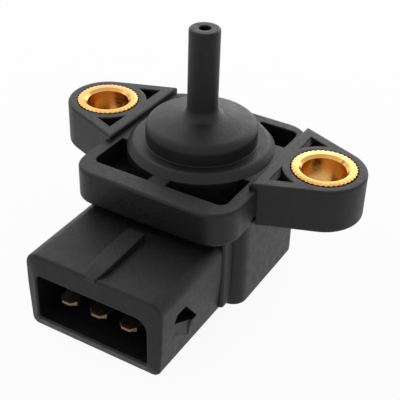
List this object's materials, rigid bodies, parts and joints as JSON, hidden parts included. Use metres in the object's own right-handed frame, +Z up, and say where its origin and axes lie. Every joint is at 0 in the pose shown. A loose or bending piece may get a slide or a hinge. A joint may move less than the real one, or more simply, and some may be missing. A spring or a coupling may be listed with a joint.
{
  "type": "manifold absolute pressure sensor",
  "caption": "Intake manifold pressure sensor: black moulded housing with a hose nipple, bolt ears with brass bushings and a flat-blade plug connector.",
  "frame": {"origin": "on the base, midway between the two bushings", "axes": "+Z up along the hose nipple, -Y out of the connector's mouth, X from ear to ear"},
  "size_m": [0.0508, 0.0423, 0.038],
  "materials": {
    "housing_plastic": "fine-grained black glass-filled plastic",
    "cover_plastic": "fine-grained black plastic",
    "bushing_brass": "turned and knurled",
    "blade_bronze": "dull rolled strip",
    "sealant": "cured bead",
    "board_laminate": "green lacquered laminate",
    "tin": "tinned",
    "package_plastic": "moulded epoxy",
    "pedestal_glass": "clear",
    "silicon": "polished grey",
    "gel": "clear soft gel",
    "ring_rubber": "matte",
    "capacitor_ceramic": "fired ceramic",
    "resistor_ceramic": "fired ceramic"
  },
  "bodies": {
    "root": {"housing": "housing_plastic", "bushing_left": "bushing_brass", "bushing_right": "bushing_brass", "terminal_supply": "blade_bronze", "terminal_signal": "blade_bronze", "terminal_ground": "blade_bronze", "base_cover": "cover_plastic", "cover_sealant": "sealant", "circuit_board": "board_laminate", "solder_fillets": "tin", "sensor_package": "package_plastic", "package_leads": "tin", "glass_pedestal": "pedestal_glass", "sensing_die": "silicon", "protective_gel": "gel", "port_o_ring": "ring_rubber", "conditioning_chip": "package_plastic", "chip_leads": "tin", "supply_capacitor": "capacitor_ceramic", "output_capacitor": "capacitor_ceramic", "filter_capacitor": "capacitor_ceramic", "load_resistor": "resistor_ceramic", "output_resistor": "resistor_ceramic"}
  },
  "joints": []
}
